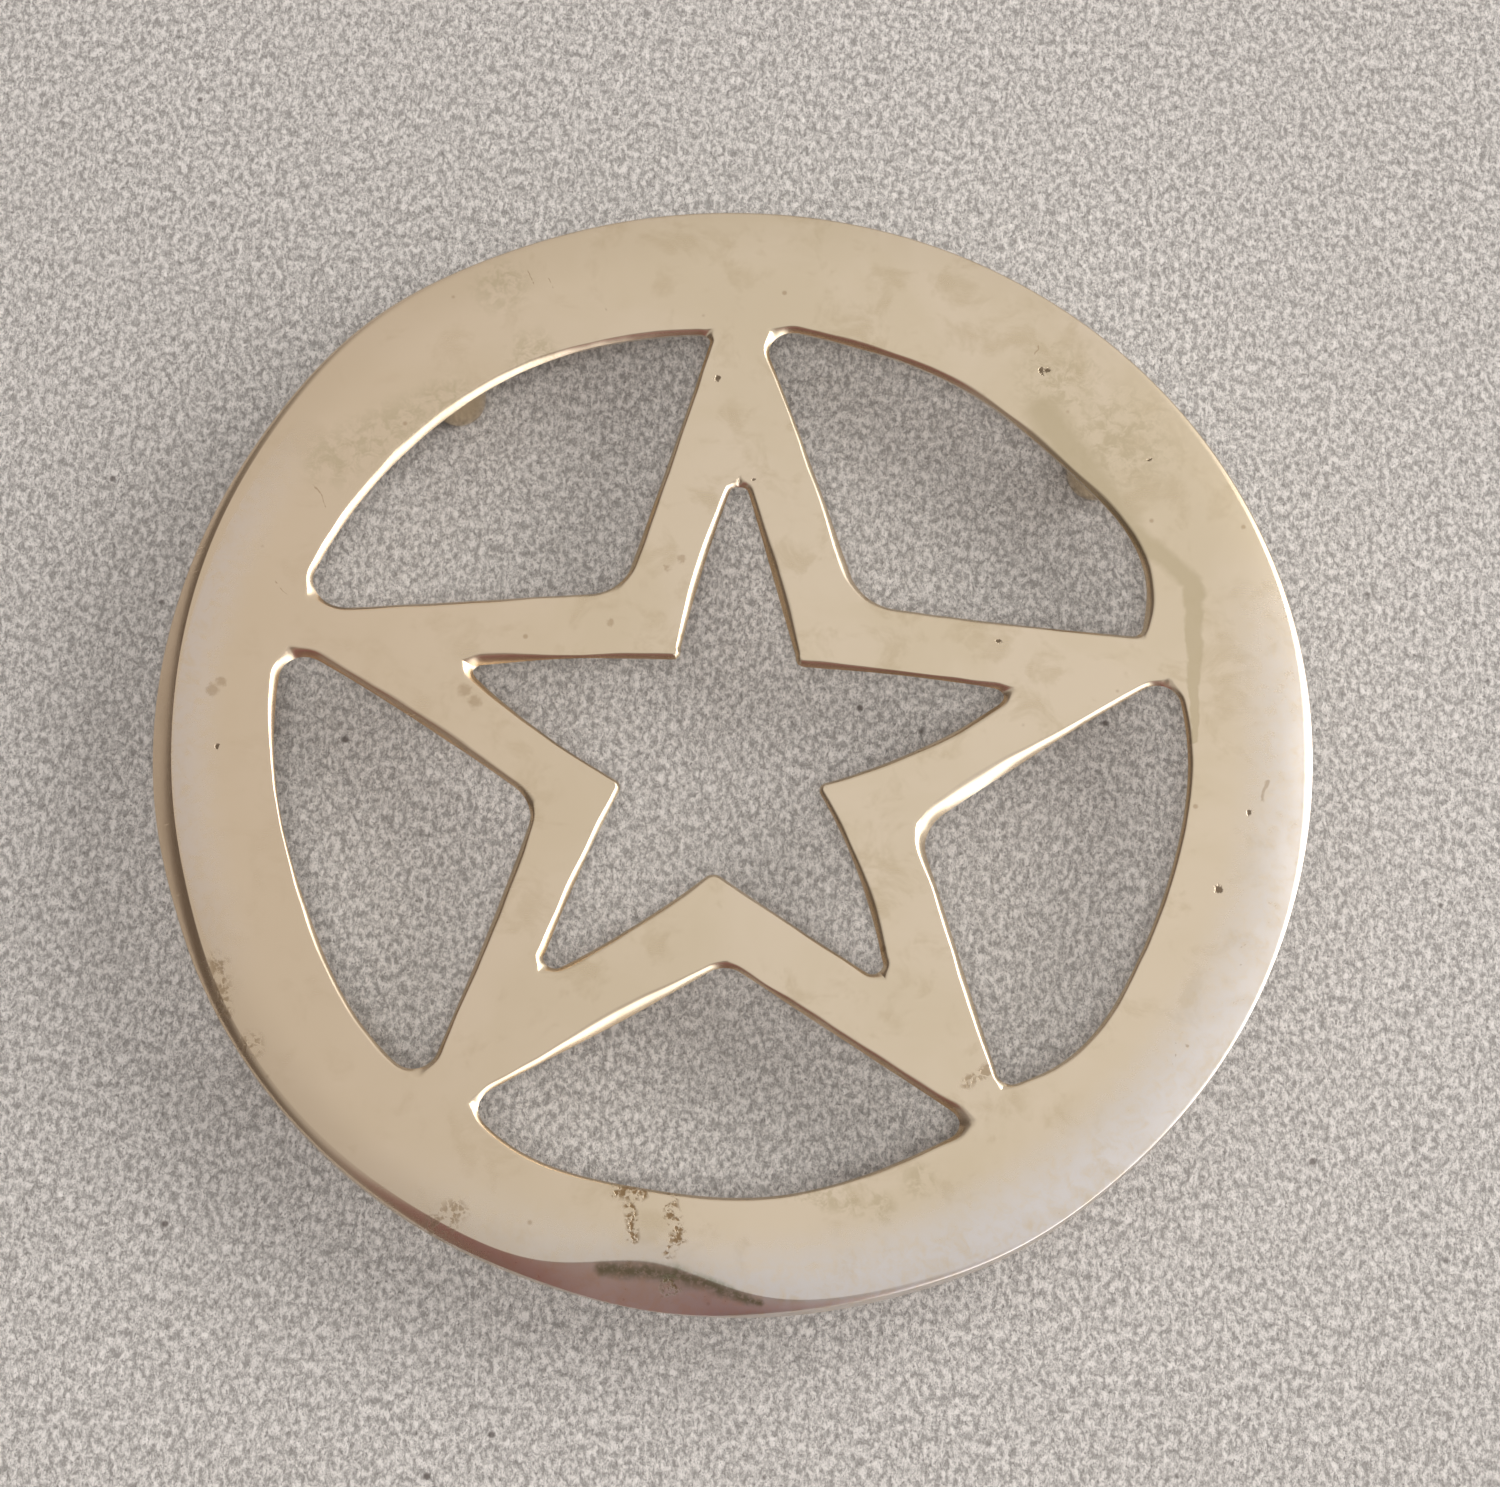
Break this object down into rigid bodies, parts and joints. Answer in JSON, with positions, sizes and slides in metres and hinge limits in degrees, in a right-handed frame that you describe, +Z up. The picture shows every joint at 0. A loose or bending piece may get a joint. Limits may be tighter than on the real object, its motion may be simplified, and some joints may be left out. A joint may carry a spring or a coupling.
{
  "type": "footed trivet",
  "caption": "Round brass trivet with an open star cut in a flat ring, standing on short turned feet; holds a hot pot clear of the table.",
  "frame": {"origin": "bottom centre, on the surface that the feet stand on, under the ring's centre", "axes": "+Z up through the plate's flat top; +Y towards the star's top arm; +X to its right seen from above"},
  "size_m": [0.16, 0.16, 0.016],
  "materials": {
    "cast_brass": "satin polished, lightly tarnished",
    "turned_brass": "turned and polished",
    "stud_metal": "plain"
  },
  "bodies": {
    "root": {"star_ring_plate": "cast_brass", "foot_1": "turned_brass", "foot_2": "turned_brass", "foot_3": "turned_brass", "foot_4": "turned_brass", "foot_stud_1": "stud_metal", "foot_stud_2": "stud_metal", "foot_stud_3": "stud_metal", "foot_stud_4": "stud_metal"}
  },
  "joints": []
}
